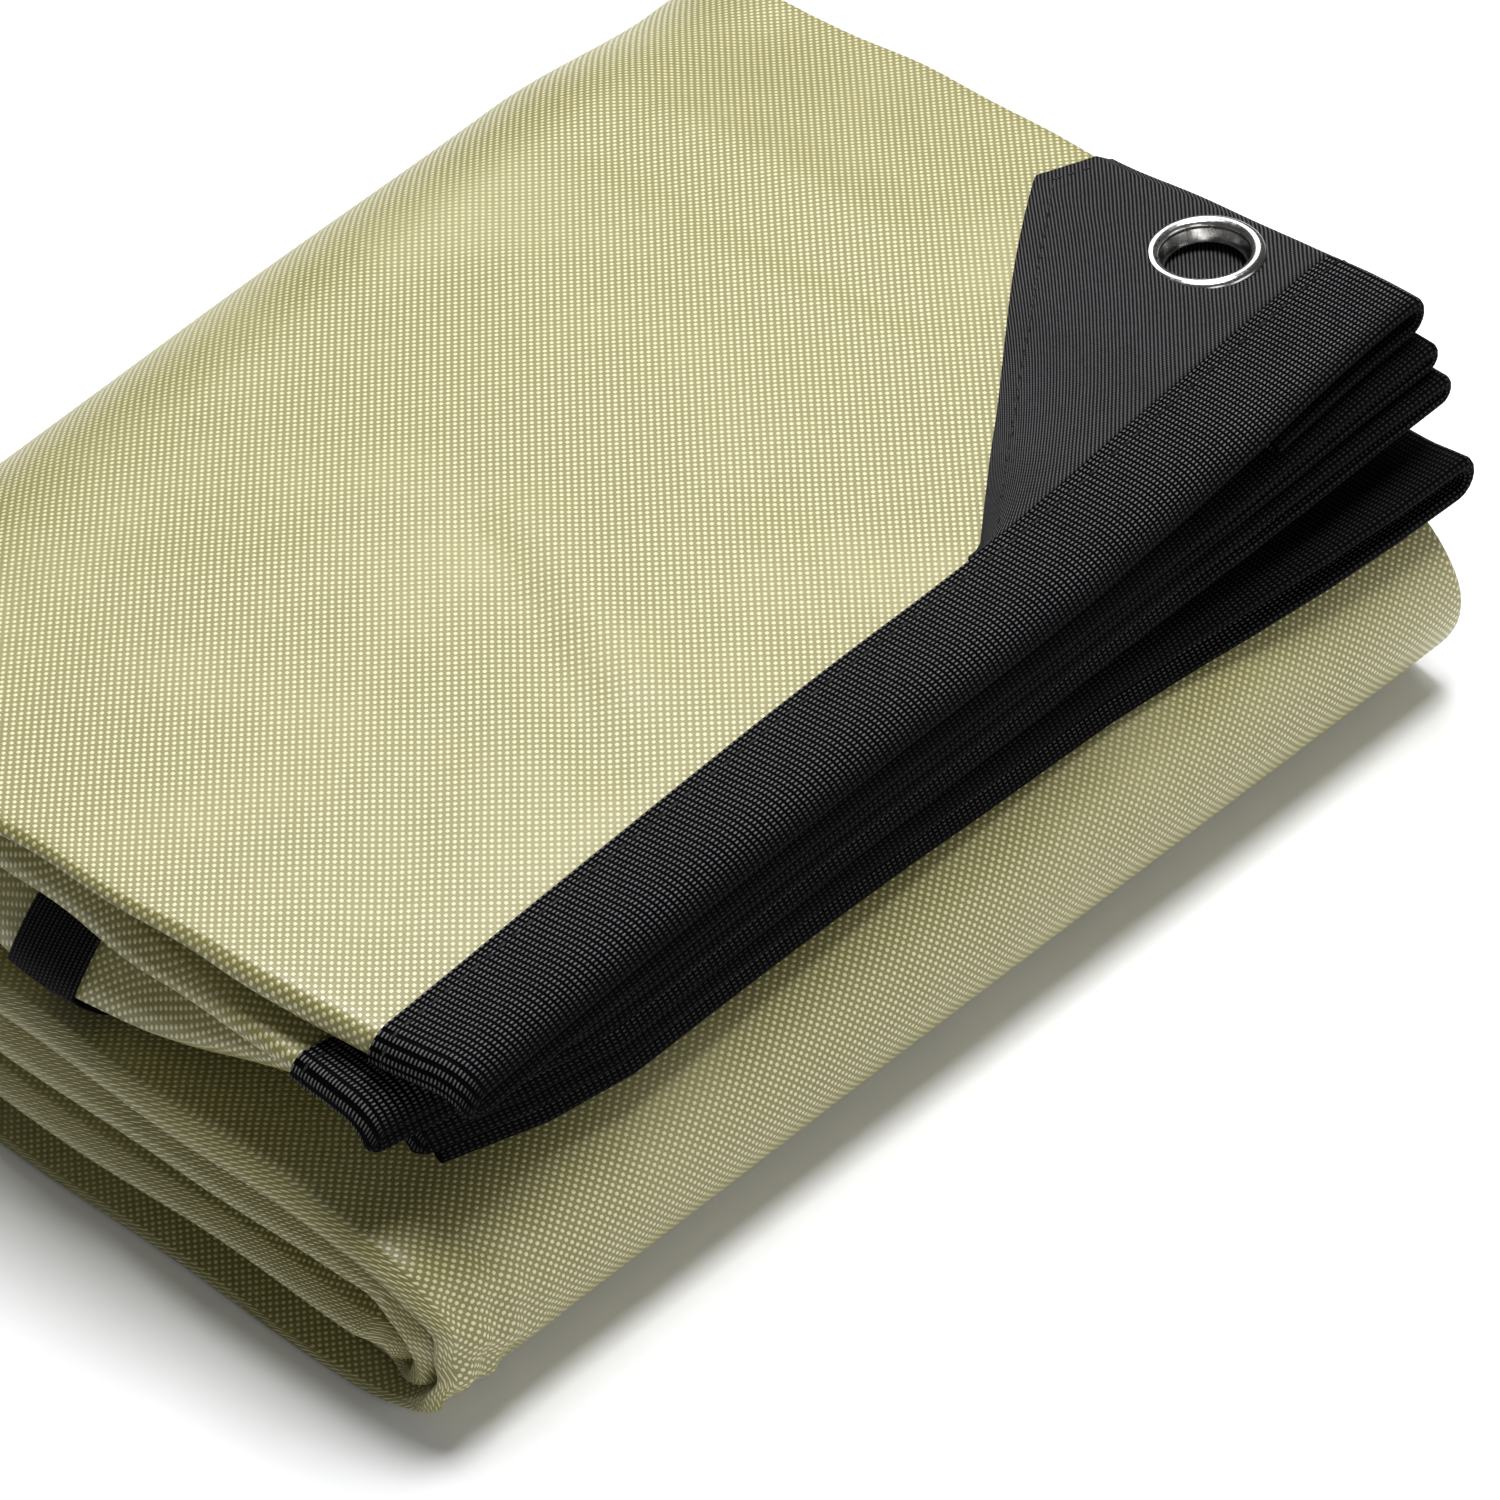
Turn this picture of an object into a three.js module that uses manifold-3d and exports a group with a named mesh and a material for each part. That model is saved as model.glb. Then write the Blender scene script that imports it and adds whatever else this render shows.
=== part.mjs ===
// Folded survival tarp. One long coated sheet lies back and forth in seven plies and a short
// flap, and the strip so made is folded in three like a letter. Millimetres, +Z up. x runs
// along the pack from its layered left end, y from the bound front edge to the rolled back.
import * as THREE from 'three';
import Module from 'manifold-3d';

// Sheet thicknesses and the gap left between pieces that are sewn together
const clothThickness = 1.1;
const bindingThickness = 1.0;
const patchThickness = 1.0;
const innerPatchThickness = 1.0;
const bandThickness = 1.0;
const seamGap = 0.31;

// Overall form of the pack
const packLength = 330;
const backRollReach = 52;
const frontFoldReach = 26;
const bindingWidth = 22;
const flapLength = 54;
const middleThirdOvershoot = 2;
const leftCornerReach = 60;
const rightCornerStart = 200;
const bindingEndLap = 1.6;
const pressedHeight = 0.4;

// Eyelet
const eyeletOuterRadius = 14;
const eyeletHoleRadius = 9.25;
const eyeletBarrelWall = 0.8;
const eyeletFlangeRadius = 12.6;
const eyeletFlangeThickness = 0.9;
const eyeletRimHeight = 2.6;
const eyeletRimFoot = 0.5;
const eyeletRimCurl = 0.6;
const eyeletClearance = 0.35;
const eyeletSides = 32;
const eyeletX = 307;
const eyeletY = 34;

// Corner patch: its slanting edge starts at the binding and ends at a cut-off tip
const patchStartX = 192;
const patchTipX = 306;
const patchTipY = 83;
const patchFoldY = 74;
const patchStartWidth = 1.5;

// Webbing band round the third left fold
const bandStartY = 80;
const bandWidth = 18;
const bandTail = 11;

const clothColour = 0xb3ac7d;
const webbingColour = 0x17171a;
const patchColour = 0x2c2c2e;
const metalColour = 0xcfc9c2;

// Height of the top ply and of the middle third's top ply above the floor, at the left end,
// at the middle, late along the pack and at the right end
const middleX = packLength * 0.5;
const lateX = packLength * 0.8;
const topHeights = [
  { y: -17, left: 88.5, middle: 93.5, late: 95.5, right: 96 },
  { y: 6, left: 92, middle: 97, late: 98.8, right: 99 },
  { y: 40, left: 95, middle: 99, late: 99.3, right: 98 },
  { y: 80, left: 97, middle: 99.6, late: 98.8, right: 95.5 },
  { y: 120, left: 97.3, middle: 98.8, late: 97, right: 91.5 },
  { y: 180, left: 94.5, middle: 95, late: 92, right: 83 },
];
const middleHeights = [
  { y: -6, left: 46, middle: 50, late: 50, right: 50 },
  { y: 24, left: 49, middle: 52.5, late: 52, right: 51.5 },
  { y: 80, left: 48.5, middle: 52, late: 51, right: 50 },
  { y: 170, left: 48, middle: 49.5, late: 48.5, right: 47 },
];

// Where the back roll and the front fold start, seen from above
const rollStart = { left: 157, right: 181 };
const noseStart = { left: 2, right: -6 };

// Front edge of each ply, and its depth under the outermost ply as a share of the stack
const plies = [
  { ply: 'flap', frontLeft: -17, frontMiddle: -16, frontRight: -10,
    shareFront: 0.1, shareLobe: 0.1, shareLower: 0.1, shareUpperRight: 0.148, shareLowerRight: 0.15 },
  { ply: 'first', frontLeft: -17, frontMiddle: -16, frontRight: -10,
    shareFront: 0, shareLobe: 0, shareLower: 0, shareUpperRight: 0, shareLowerRight: 0 },
  { ply: 'second', frontLeft: -16, frontMiddle: -15, frontRight: -14,
    shareFront: 0.283, shareLobe: 0.14, shareLower: 0.22, shareUpperRight: 0.25, shareLowerRight: 0.29 },
  { ply: 'third', frontLeft: -3, frontMiddle: -14.5, frontRight: -14,
    shareFront: 0.427, shareLobe: 0.21, shareLower: 0.33, shareUpperRight: 0.4, shareLowerRight: 0.46 },
  { ply: 'fourth', frontLeft: -3, frontMiddle: -14.5, frontRight: -17,
    shareFront: 0.567, shareLobe: 0.43, shareLower: 0.56, shareUpperRight: 0.5, shareLowerRight: 0.59 },
  { ply: 'fifth', frontLeft: -2, frontMiddle: -15.5, frontRight: -17,
    shareFront: 0.703, shareLobe: 0.49, shareLower: 0.67, shareUpperRight: 0.64, shareLowerRight: 0.75 },
  { ply: 'sixth', frontLeft: -2, frontMiddle: -15.5, frontRight: -26,
    shareFront: 0.84, shareLobe: 0.92, shareLower: 0.88, shareUpperRight: 0.82, shareLowerRight: 0.86 },
  { ply: 'seventh', frontLeft: -3, frontMiddle: -16, frontRight: -26,
    shareFront: 1, shareLobe: 1, shareLower: 1, shareUpperRight: 1, shareLowerRight: 1 },
];

// Stations along the letter fold. place 0 is the front edge, 2 to 3 the back roll, 4 to 5 the
// front fold and 6 the hidden end. stack is the thickness of the plies together, lobe and lower
// choose the shares, and the reaches give where each left and right fold ends along x.
const stations = [
  { place: 0, stackLeft: 30, stackRight: 45, lobe: 0, lower: 0,
    left1: 10, left2: -3, left3: 1, left4: 6, right1: 328, right2: 329, right3: 331, right4: 330 },
  { place: 0.28, stackLeft: 30, stackRight: 45, lobe: 0, lower: 0,
    left1: 5, left2: -2, left3: 0, left4: 8, right1: 325, right2: 327, right3: 329, right4: 327 },
  { place: 0.9, stackLeft: 46, stackRight: 42, lobe: 1, lower: 0,
    left1: -1, left2: -1, left3: -3, left4: 10, right1: 325, right2: 326, right3: 327, right4: 324 },
  { place: 1.4, stackLeft: 45, stackRight: 38, lobe: 1, lower: 0,
    left1: -3, left2: -1, left3: -4, left4: 12, right1: 330, right2: 329, right3: 330, right4: 327 },
  { place: 2, stackLeft: 36, stackRight: 28, lobe: 0.6, lower: 0.4,
    left1: -4, left2: -1, left3: -2, left4: 10, right1: 337, right2: 334, right3: 333, right4: 330 },
  { place: 2.5, stackLeft: 28, stackRight: 24, lobe: 0, lower: 1,
    left1: -5, left2: -2, left3: -1, left4: 8, right1: 339, right2: 335, right3: 333, right4: 329 },
  { place: 3, stackLeft: 21, stackRight: 20, lobe: 0, lower: 1,
    left1: -4, left2: -1, left3: 2, left4: 8, right1: 336, right2: 333, right3: 331, right4: 328 },
  { place: 3.55, stackLeft: 21, stackRight: 21, lobe: 0, lower: 1,
    left1: -4, left2: -2, left3: 1, left4: 7, right1: 333, right2: 331, right3: 330, right4: 327 },
  { place: 4, stackLeft: 21.5, stackRight: 22, lobe: 0, lower: 1,
    left1: -3, left2: -1, left3: 2, left4: 6, right1: 327, right2: 325, right3: 323, right4: 320 },
  { place: 4.5, stackLeft: 21, stackRight: 22, lobe: 0, lower: 1,
    left1: -4, left2: -1, left3: 1, left4: 5, right1: 325, right2: 323, right3: 321, right4: 318 },
  { place: 5, stackLeft: 21, stackRight: 22, lobe: 0, lower: 1,
    left1: -6, left2: -4, left3: -2, left4: 4, right1: 322, right2: 322, right3: 320, right4: 318 },
  { place: 5.3, stackLeft: 21.5, stackRight: 22, lobe: 0, lower: 1,
    left1: -6, left2: -5, left3: -3, left4: 5, right1: 326, right2: 325, right3: 324, right4: 322 },
  { place: 6, stackLeft: 21, stackRight: 20, lobe: 0, lower: 1,
    left1: -5, left2: -3, left3: -2, left4: 6, right1: 331, right2: 330, right3: 329, right4: 327 },
];

// How finely the sheet is divided: round each turn, along each ply and along each third
const turnSteps = 4;
const firstPlyShares = [0, 0.06, 0.22, 0.4, 0.56, 0.65, 0.74, 0.83, 0.92, 1];
const flapShares = [0, 0.5, 1];
const innerPlyShares = [0, 0.12, 0.5, 0.88, 1];
const upperShares = [0.1, 0.24, 0.4, 0.56, 0.72, 0.87, 1];
const lowerPlaces = [3.05, 3.5, 3.95, 4];
const middlePlaces = [5.12, 5.3, 5.55, 5.8, 6];
const curveSteps = 7;

const mix = THREE.MathUtils.lerp;
const smooth = (value, low, high) => THREE.MathUtils.smoothstep(value, low, high);

// One column of a table at a key value, by a smooth curve through its rows
function tableValue(rows, key, column, value) {
  const last = rows.length - 1;
  if (value <= rows[0][key]) return rows[0][column];
  if (value >= rows[last][key]) return rows[last][column];
  const next = rows.findIndex((row) => row[key] > value);
  const start = rows[next - 1];
  const end = rows[next];
  const before = rows[Math.max(next - 2, 0)];
  const after = rows[Math.min(next + 1, last)];
  const span = end[key] - start[key];
  const part = (value - start[key]) / span;
  const startSlope = (end[column] - before[column]) / (end[key] - before[key]) * span;
  const endSlope = (after[column] - start[column]) / (after[key] - start[key]) * span;
  const squared = part * part;
  const cubed = squared * part;
  return (2 * cubed - 3 * squared + 1) * start[column] + (cubed - 2 * squared + part) * startSlope
    + (3 * squared - 2 * cubed) * end[column] + (cubed - squared) * endSlope;
}

const station = (column, place) => tableValue(stations, 'place', column, place);

function heightAt(rows, x, y) {
  const left = tableValue(rows, 'y', 'left', y);
  const middle = tableValue(rows, 'y', 'middle', y);
  const late = tableValue(rows, 'y', 'late', y);
  const right = tableValue(rows, 'y', 'right', y);
  if (x < middleX) return mix(left, middle, smooth(x, 0, middleX));
  if (x < lateX) return mix(middle, late, smooth(x, middleX, lateX));
  return mix(late, right, smooth(x, lateX, packLength));
}

const floorHeight = clothThickness / 2;
const rollY = (x) => mix(rollStart.left, rollStart.right, x / packLength);
const noseY = (x) => mix(noseStart.left, noseStart.right, x / packLength);

function frontY(row, x) {
  const nearLeft = 1 - smooth(x, 0, leftCornerReach);
  const nearRight = smooth(x, rightCornerStart, packLength);
  return row.frontMiddle + nearLeft * (row.frontLeft - row.frontMiddle)
    + nearRight * (row.frontRight - row.frontMiddle);
}

function plyDepth(row, x, place) {
  const lobe = station('lobe', place);
  const lower = station('lower', place);
  const upperLeft = mix(row.shareFront, row.shareLobe, lobe);
  const left = mix(upperLeft, row.shareLower, lower) * station('stackLeft', place);
  const right = mix(row.shareUpperRight, row.shareLowerRight, lower) * station('stackRight', place);
  return mix(left, right, smooth(x, 0, packLength));
}

// Point of the letter fold at a depth under its outermost ply
function foldPoint(row, x, place, depth) {
  if (place <= 2) {
    const y = mix(frontY(row, x), rollY(x), place / 2);
    return new THREE.Vector3(x, y, heightAt(topHeights, x, y) - depth);
  }
  if (place <= 3) {
    const angle = (place - 2) * Math.PI;
    const half = (heightAt(topHeights, x, rollY(x)) - floorHeight) / 2;
    const y = rollY(x) + (backRollReach - depth) * Math.sin(angle);
    return new THREE.Vector3(x, y, floorHeight + half + (half - depth) * Math.cos(angle));
  }
  if (place <= 4) {
    return new THREE.Vector3(x, mix(rollY(x), noseY(x), place - 3), floorHeight + depth);
  }
  if (place <= 5) {
    const angle = (place - 4) * Math.PI;
    const half = (heightAt(middleHeights, x, noseY(x)) - floorHeight) / 2;
    const y = noseY(x) - (frontFoldReach - depth) * Math.sin(angle);
    return new THREE.Vector3(x, y, floorHeight + half - (half - depth) * Math.cos(angle));
  }
  const y = mix(noseY(x), rollY(x) + middleThirdOvershoot, place - 5);
  return new THREE.Vector3(x, y, heightAt(middleHeights, x, y) - depth);
}

// The zigzag across the pack: plies joined by half-round turns at alternate ends
const turnTable = [
  { from: 0, to: 1, side: 'right1' },
  { from: 1, to: 2, side: 'left1' },
  { from: 2, to: 3, side: 'right2' },
  { from: 3, to: 4, side: 'left2' },
  { from: 4, to: 5, side: 'right3' },
  { from: 5, to: 6, side: 'left3' },
  { from: 6, to: 7, side: 'right4' },
];

const isLeft = (side) => side.startsWith('left');

function turnShape(turn, place) {
  const reach = station(turn.side, place);
  const from = plyDepth(plies[turn.from], reach, place);
  const to = plyDepth(plies[turn.to], reach, place);
  return { reach, from, to, bulge: Math.abs(to - from) / 2 };
}

// x at which the flat run of a ply starts or ends
function plyEnd(index, side, place) {
  const turn = turnTable.find((row) => (row.from === index || row.to === index) && isLeft(row.side) === side);
  if (turn) {
    const shape = turnShape(turn, place);
    return side ? shape.reach + shape.bulge : shape.reach - shape.bulge;
  }
  if (index === 0) return packLength - flapLength;
  return station('left4', place);
}

function plyPoint(index, share, place) {
  const x = mix(plyEnd(index, true, place), plyEnd(index, false, place), share);
  return foldPoint(plies[index], x, place, plyDepth(plies[index], x, place));
}

function turnPoint(turn, angle, place) {
  const shape = turnShape(turn, place);
  const side = isLeft(turn.side) ? -1 : 1;
  const x = shape.reach + side * shape.bulge * (Math.sin(angle) - 1);
  const depth = mix(shape.from, shape.to, (1 - Math.cos(angle)) / 2);
  return foldPoint(plies[angle < Math.PI / 2 ? turn.from : turn.to], x, place, depth);
}

function plyShares(index) {
  if (index === 0) return flapShares;
  return index === 1 ? firstPlyShares : innerPlyShares;
}

// Samples along the zigzag, from the flap's edge to the free end of the seventh ply
function zigzagSamples() {
  const samples = [];
  plies.forEach((row, index) => {
    const shares = index % 2 === 0 ? plyShares(index) : plyShares(index).toReversed();
    shares.forEach((share) => samples.push({ index, share }));
    if (index < turnTable.length) {
      for (let step = 1; step < turnSteps; step += 1) {
        samples.push({ turn: turnTable[index], angle: Math.PI * step / turnSteps });
      }
    }
  });
  return samples;
}

const samplePoint = (sample, place) => (sample.turn
  ? turnPoint(sample.turn, sample.angle, place)
  : plyPoint(sample.index, sample.share, place));

// Place along the upper third at a distance behind the ply's front edge
function placeBehind(sample, distance) {
  const front = samplePoint(sample, 0);
  const back = samplePoint(sample, 2);
  return 2 * distance / (back.y - front.y);
}

// Places along the letter fold, the first two set by the binding's width
function foldPlaces(sample) {
  const bindingPlace = placeBehind(sample, bindingWidth);
  const places = [0, bindingPlace];
  upperShares.forEach((share) => places.push(mix(bindingPlace, 2, share)));
  for (let step = 1; step <= curveSteps; step += 1) places.push(2 + step / curveSteps);
  places.push(...lowerPlaces);
  for (let step = 1; step <= curveSteps; step += 1) places.push(4 + step / curveSteps);
  places.push(...middlePlaces);
  return places;
}

// Mid-surface of the sheet as rows of points, with the normal of its upper face at each
function surfaceGrid(columns) {
  const points = columns.map((column) => column.places.map((place) => samplePoint(column.sample, place)));
  const lastColumn = points.length - 1;
  const lastRow = points[0].length - 1;
  const normals = points.map((column, i) => column.map((point, j) => {
    const along = points[Math.min(i + 1, lastColumn)][j].clone().sub(points[Math.max(i - 1, 0)][j]);
    const across = column[Math.min(j + 1, lastRow)].clone().sub(column[Math.max(j - 1, 0)]);
    return across.cross(along).normalize();
  }));
  return { points, normals };
}

const offsetPoint = (point, normal, offset) => point.clone().addScaledVector(normal, offset);

// A closed solid from rings of equal length: neighbours are joined and the ends capped
function ringSolid(rings, capFaces, crossed = false) {
  const size = rings[0].length;
  const positions = rings.flat().flatMap((point) => point.toArray());
  const index = [];
  for (let i = 0; i + 1 < rings.length; i += 1) {
    for (let j = 0; j < size; j += 1) {
      const a = i * size + j;
      const b = i * size + (j + 1) % size;
      if (crossed) index.push(a, b, b + size, a, b + size, a + size);
      else index.push(a, b, a + size, b, b + size, a + size);
    }
  }
  const last = (rings.length - 1) * size;
  capFaces.forEach(([a, b, c]) => index.push(a, c, b, last + a, last + b, last + c));
  const geometry = new THREE.BufferGeometry();
  geometry.setAttribute('position', new THREE.Float32BufferAttribute(positions, 3));
  geometry.setIndex(index);
  return geometry;
}

// Caps of a ring made of two matching runs of points, out along one and back along the other
function ladderFaces(count) {
  const faces = [];
  const size = 2 * count;
  for (let j = 0; j + 1 < count; j += 1) {
    faces.push([j, j + 1, size - 1 - j], [j + 1, size - 2 - j, size - 1 - j]);
  }
  return faces;
}

// Sheet of cloth between two offsets from the mid-surface, pressed flat where it meets the floor
function sheetSolid(grid, low, high) {
  const rings = grid.points.map((column, i) => {
    const upper = column.map((point, j) => offsetPoint(point, grid.normals[i][j], high));
    const lower = column.map((point, j) => offsetPoint(point, grid.normals[i][j], low));
    upper.concat(lower).filter((point) => point.z < pressedHeight).forEach((point) => point.setZ(0));
    return upper.concat(lower.reverse());
  });
  return ringSolid(rings, ladderFaces(grid.points[0].length));
}

// Binding folded over the front edge: a channel section carried along the zigzag and a little
// past the sheet at both ends
function bindingSolid(grid) {
  const inner = clothThickness / 2 + seamGap;
  const outer = inner + bindingThickness;
  const arcSteps = 4;
  const last = grid.points.length - 1;
  const pairs = grid.points.map(([edge, inside], i) => ({ edge, inside, normals: grid.normals[i] }));
  const lapped = (end, next) => {
    const shift = end.edge.clone().sub(next.edge).setLength(bindingEndLap);
    return { edge: end.edge.clone().add(shift), inside: end.inside.clone().add(shift), normals: end.normals };
  };
  const sections = [lapped(pairs[0], pairs[1]), ...pairs, lapped(pairs[last], pairs[last - 1])];
  const rings = sections.map(({ edge, inside, normals }) => {
    const [edgeNormal, insideNormal] = normals;
    const outward = edge.clone().sub(inside);
    outward.addScaledVector(edgeNormal, -outward.dot(edgeNormal)).normalize();
    const run = (offset) => {
      const line = [offsetPoint(inside, insideNormal, offset)];
      for (let step = 0; step <= arcSteps; step += 1) {
        const angle = Math.PI * step / arcSteps;
        const point = offsetPoint(edge, edgeNormal, offset * Math.cos(angle));
        line.push(point.addScaledVector(outward, offset * Math.sin(angle)));
      }
      line.push(offsetPoint(inside, insideNormal, -offset));
      return line;
    };
    return run(inner).concat(run(outer).reverse());
  });
  return ringSolid(rings, ladderFaces(arcSteps + 3), true);
}

const wasm = await Module();
wasm.setup();

function toManifold(geometry) {
  return new wasm.Manifold(new wasm.Mesh({
    numProp: 3,
    vertProperties: new Float32Array(geometry.getAttribute('position').array),
    triVerts: new Uint32Array(geometry.index.array),
  }));
}

function toGeometry(solid) {
  const mesh = solid.getMesh();
  const geometry = new THREE.BufferGeometry();
  geometry.setAttribute('position', new THREE.BufferAttribute(mesh.vertProperties.slice(), 3));
  geometry.setIndex(new THREE.BufferAttribute(mesh.triVerts.slice(), 1));
  return geometry;
}

// Sheets that carry the pieces
const zigzag = zigzagSamples();
const clothColumns = zigzag.map((sample) => ({ sample, places: foldPlaces(sample) }));
const clothGrid = surfaceGrid(clothColumns);
const clothHalf = clothThickness / 2;

// Share along the first ply that lies above a given x
function firstPlyShareAt(x, place) {
  const left = plyEnd(1, true, place);
  return (x - left) / (plyEnd(1, false, place) - left);
}

function firstPlyPoint(x, place) {
  return plyPoint(1, firstPlyShareAt(x, place), place);
}

// Where the eyelet sits, and the ply's tilt there
const eyeletPlace = 2 * (eyeletY - frontY(plies[1], eyeletX)) / (rollY(eyeletX) - frontY(plies[1], eyeletX));

const eyeletCentre = firstPlyPoint(eyeletX, eyeletPlace);
const slopeStep = 10;
const placeStep = 0.1;
const eyeletAlong = firstPlyPoint(eyeletX + slopeStep, eyeletPlace)
  .sub(firstPlyPoint(eyeletX - slopeStep, eyeletPlace));
const eyeletAcross = firstPlyPoint(eyeletX, eyeletPlace + placeStep)
  .sub(firstPlyPoint(eyeletX, eyeletPlace - placeStep));
const eyeletAxis = eyeletAlong.cross(eyeletAcross).normalize();
const eyeletTurn = new THREE.Quaternion().setFromUnitVectors(new THREE.Vector3(0, 0, 1), eyeletAxis);

const rimBase = clothHalf + seamGap + patchThickness + eyeletClearance;
const flangeTop = -clothHalf - eyeletClearance;

function eyeletGeometry() {
  const barrelRadius = eyeletHoleRadius + eyeletBarrelWall;
  const rimMiddle = (eyeletOuterRadius + eyeletHoleRadius) / 2;
  const rimHalf = (eyeletOuterRadius - eyeletHoleRadius) / 2;
  const profile = [
    new THREE.Vector2(eyeletHoleRadius, flangeTop - eyeletFlangeThickness),
    new THREE.Vector2(eyeletFlangeRadius, flangeTop - eyeletFlangeThickness),
    new THREE.Vector2(eyeletFlangeRadius, flangeTop),
    new THREE.Vector2(barrelRadius, flangeTop),
    new THREE.Vector2(barrelRadius, rimBase),
    new THREE.Vector2(eyeletOuterRadius - eyeletRimCurl, rimBase),
  ];
  const rimSteps = 6;
  for (let step = 0; step <= rimSteps; step += 1) {
    const angle = Math.PI * step / rimSteps;
    const radius = rimMiddle + rimHalf * Math.cos(angle);
    const height = eyeletRimFoot + (eyeletRimHeight - eyeletRimFoot) * Math.sin(angle);
    profile.push(new THREE.Vector2(radius, rimBase + height));
  }
  profile.push(profile[0].clone());
  const geometry = new THREE.LatheGeometry(profile, eyeletSides);
  geometry.rotateX(Math.PI / 2);
  return geometry;
}

// Cutter for the eyelet's hole, through the patch and the ply under it only
function holeCutter() {
  const cutterHalf = 3;
  const radius = eyeletHoleRadius + eyeletBarrelWall + eyeletClearance;
  const steps = eyeletSides;
  const rings = [-cutterHalf, cutterHalf].map((height) => {
    const ring = [];
    for (let step = 0; step < steps; step += 1) {
      const angle = 2 * Math.PI * step / steps;
      const point = new THREE.Vector3(radius * Math.cos(angle), radius * Math.sin(angle), height);
      ring.push(point.applyQuaternion(eyeletTurn).add(eyeletCentre));
    }
    return ring;
  });
  const faces = [];
  for (let step = 1; step + 1 < steps; step += 1) faces.push([0, step, step + 1]);
  return toManifold(ringSolid(rings, faces));
}

const cutter = holeCutter();
const pierced = (geometry) => toGeometry(toManifold(geometry).subtract(cutter));

// How far back the patch reaches over a sample of the first ply, its right fold or the flap
function patchReach(sample, x) {
  if (sample.turn || sample.index === 0) return patchFoldY;
  const bindingEdge = frontY(plies[1], patchStartX) + bindingWidth;
  if (x < patchTipX) {
    return mix(bindingEdge, patchTipY, (x - patchStartX) / (patchTipX - patchStartX));
  }
  return mix(patchTipY, patchFoldY, (x - patchTipX) / (packLength - patchTipX));
}

// Columns of the patch, in the order of the cloth's own columns so that both bend alike
function patchColumns() {
  const edgePlace = 0.3;
  const leastStep = 4;
  const flapAndFold = zigzag.filter((sample) => sample.index === 0 || sample.turn === turnTable[0]);
  const own = zigzag.filter((sample) => sample.index === 1
    && plyPoint(1, sample.share, edgePlace).x > patchStartX + leastStep);
  const extra = [patchStartX, patchTipX].map((x) => ({ index: 1, share: firstPlyShareAt(x, edgePlace) }));
  const firstPly = own.concat(extra).sort((a, b) => b.share - a.share);
  return flapAndFold.concat(firstPly).map((sample) => {
    const start = placeBehind(sample, bindingWidth + seamGap);
    const front = samplePoint(sample, 0).y;
    const perMillimetre = start / (bindingWidth + seamGap);
    const reach = patchReach(sample, samplePoint(sample, start).x) - front;
    const end = Math.max(reach, bindingWidth + seamGap + patchStartWidth) * perMillimetre;
    return { sample, places: [0, 0.25, 0.5, 0.75, 1].map((share) => mix(start, end, share)) };
  });
}

// Inner patch on the flap, seen through the eyelet
function innerPatchColumns() {
  return zigzag.filter((sample) => sample.index === 0).map((sample) => {
    const start = placeBehind(sample, bindingWidth + seamGap);
    const perMillimetre = start / (bindingWidth + seamGap);
    const end = (patchFoldY - samplePoint(sample, 0).y) * perMillimetre;
    return { sample, places: [0, 0.5, 1].map((share) => mix(start, end, share)) };
  });
}

// Webbing band round the third left fold, with a short tail on both plies
function bandColumns() {
  const turn = turnTable[5];
  const samples = [{ index: turn.from, tail: bandTail }];
  zigzag.filter((sample) => sample.turn === turn).forEach((sample) => samples.push(sample));
  samples.splice(1, 0, { index: turn.from, tail: 0 });
  samples.push({ index: turn.to, tail: 0 }, { index: turn.to, tail: bandTail });
  return samples.map((sample) => {
    const place = 1;
    const left = sample.turn ? 0 : plyEnd(sample.index, true, place);
    const width = sample.turn ? 1 : plyEnd(sample.index, false, place) - left;
    const used = sample.turn ? sample : { index: sample.index, share: sample.tail / width };
    const front = samplePoint(used, 0).y;
    const start = placeBehind(used, bandStartY - front);
    const end = placeBehind(used, bandStartY + bandWidth - front);
    return { sample: used, places: [0, 0.5, 1].map((share) => mix(start, end, share)) };
  });
}

const skinLow = clothHalf + seamGap;
const clothSolid = pierced(sheetSolid(clothGrid, -clothHalf, clothHalf));
const patchSolid = pierced(sheetSolid(surfaceGrid(patchColumns()), skinLow, skinLow + patchThickness));
const innerPatchGrid = surfaceGrid(innerPatchColumns());
const innerPatchSolid = sheetSolid(innerPatchGrid, -skinLow - innerPatchThickness, -skinLow);
const bandSolid = sheetSolid(surfaceGrid(bandColumns()), skinLow, skinLow + bandThickness);

function piece(name, geometry, colour, roughness, metalness) {
  const material = new THREE.MeshStandardMaterial({ color: colour, roughness, metalness });
  const mesh = new THREE.Mesh(geometry, material);
  mesh.name = name;
  return mesh;
}

const eyelet = piece('eyelet', eyeletGeometry(), metalColour, 0.22, 1);
eyelet.position.copy(eyeletCentre);
eyelet.quaternion.copy(eyeletTurn);

const pack = new THREE.Group();
pack.add(piece('tarp_cloth', clothSolid, clothColour, 0.62, 0));
pack.add(piece('edge_binding', bindingSolid(clothGrid), webbingColour, 0.7, 0));
pack.add(piece('corner_patch', patchSolid, patchColour, 0.75, 0));
pack.add(piece('corner_patch_under', innerPatchSolid, patchColour, 0.75, 0));
pack.add(piece('webbing_band', bandSolid, webbingColour, 0.7, 0));
pack.add(eyelet);

// The origin is the middle of the bottom of the whole pack
const box = new THREE.Box3().setFromObject(pack);
const centre = box.getCenter(new THREE.Vector3());
pack.position.set(-centre.x, -centre.y, -box.min.z);

export default pack;
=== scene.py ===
# Folded survival tarp: one coated sheet in seven plies and a flap, folded in three like a letter.
# Sizes are millimetres in the pack's own frame, from its near left corner, and go into meshes in metres.
import bpy
import math
import numpy as np
from mathutils import Matrix, Vector


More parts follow.
